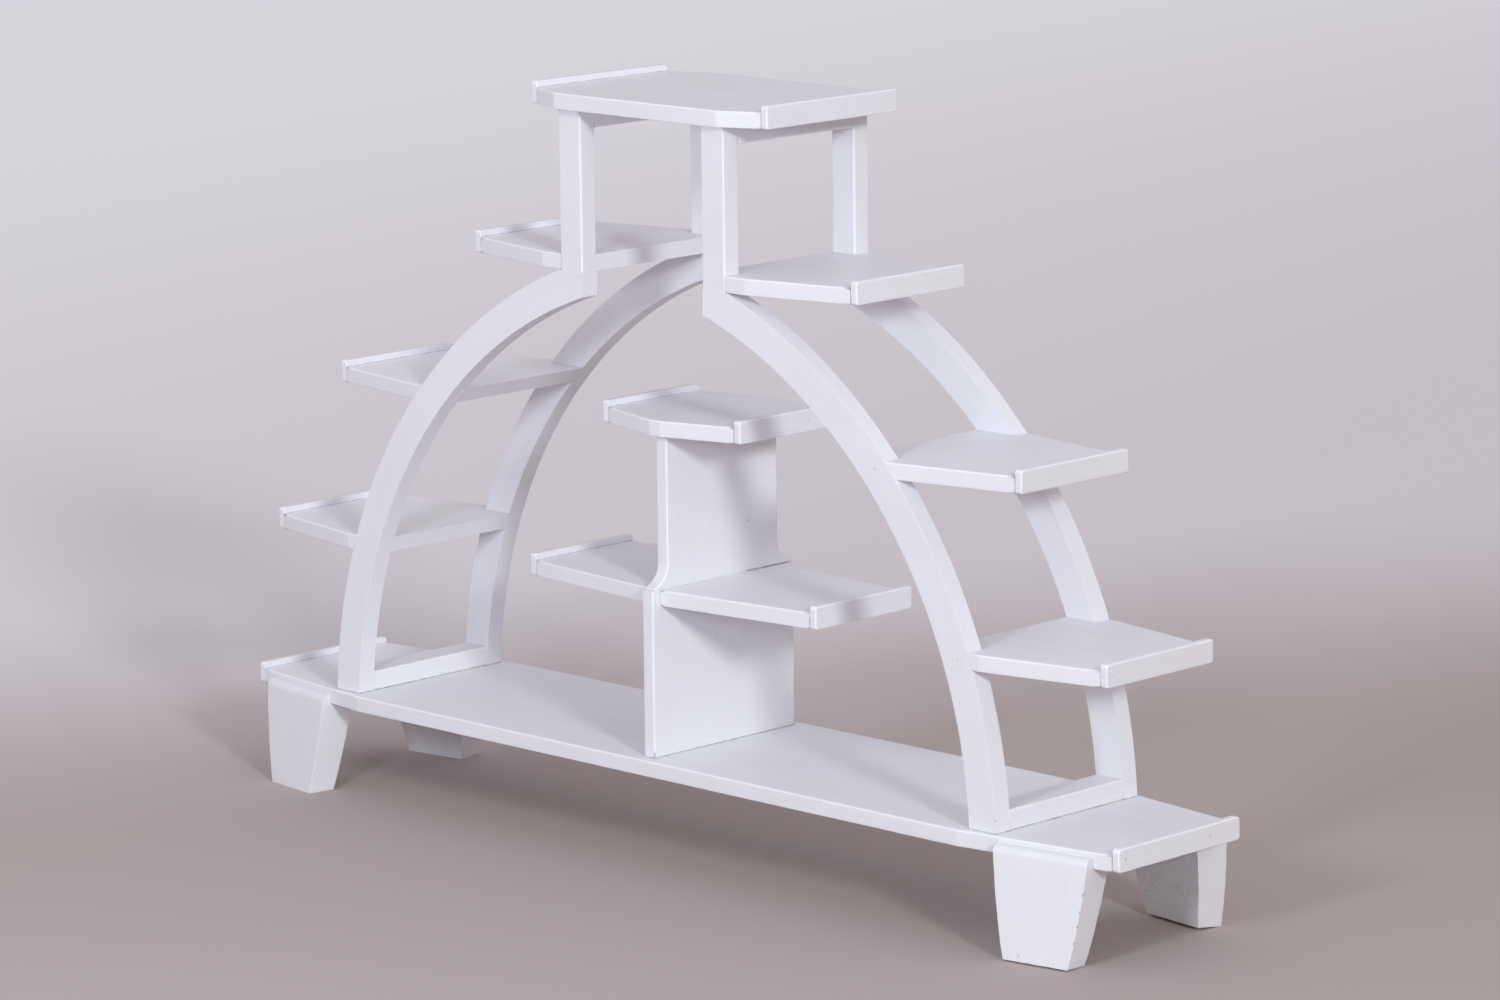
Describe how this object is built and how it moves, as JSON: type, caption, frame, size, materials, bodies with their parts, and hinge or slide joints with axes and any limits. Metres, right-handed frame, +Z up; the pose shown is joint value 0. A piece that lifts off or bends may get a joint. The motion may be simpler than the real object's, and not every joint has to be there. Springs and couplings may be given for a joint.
{
  "type": "plant stand shelf",
  "caption": "Tiered arched plant stand in white painted wood: half arches carry stepped shelves with raised end lips above a long base on splayed feet.",
  "frame": {"origin": "on the floor, under the middle of the base board", "axes": "+X along the stand to its right end, +Y to the back, +Z up; the front faces -Y"},
  "size_m": [1.3, 0.2616, 0.834],
  "materials": {
    "painted_wood": "satin white paint, brushed on, with light wear",
    "dowel_wood": "bare turned hardwood",
    "steel": "bright drawn wire"
  },
  "bodies": {
    "root": {"base_board": "painted_wood", "base_lip_left": "painted_wood", "base_lip_right": "painted_wood", "base_screws": "steel", "bottom_rail_left": "painted_wood", "bottom_rail_right": "painted_wood", "centre_lip_left": "painted_wood", "centre_lip_right": "painted_wood", "centre_shelf_dowels": "dowel_wood", "centre_shelf_left": "painted_wood", "centre_shelf_right": "painted_wood", "centre_top_dowels": "dowel_wood", "centre_top_lip_left": "painted_wood", "centre_top_lip_right": "painted_wood", "centre_top_shelf": "painted_wood", "foot_back_left": "painted_wood", "foot_back_right": "painted_wood", "foot_dowels": "dowel_wood", "foot_front_left": "painted_wood", "foot_front_right": "painted_wood", "lip_nails": "steel", "lower_lip_left": "painted_wood", "lower_lip_right": "painted_wood", "lower_panel": "painted_wood", "lower_shelf_left": "painted_wood", "lower_shelf_right": "painted_wood", "middle_lip_left": "painted_wood", "middle_lip_right": "painted_wood", "middle_shelf_left": "painted_wood", "middle_shelf_right": "painted_wood", "panel_dowels": "dowel_wood", "post_back_left": "painted_wood", "post_back_right": "painted_wood", "post_dowels": "dowel_wood", "post_front_left": "painted_wood", "post_front_right": "painted_wood", "rail_dowels": "dowel_wood", "rib_back_left": "painted_wood", "rib_back_right": "painted_wood", "rib_front_left": "painted_wood", "rib_front_right": "painted_wood", "shelf_nails": "steel", "top_lip_left": "painted_wood", "top_lip_right": "painted_wood", "top_rail_left": "painted_wood", "top_rail_right": "painted_wood", "top_shelf": "painted_wood", "upper_lip_left": "painted_wood", "upper_lip_right": "painted_wood", "upper_panel": "painted_wood", "upper_shelf_left": "painted_wood", "upper_shelf_right": "painted_wood"}
  },
  "joints": []
}
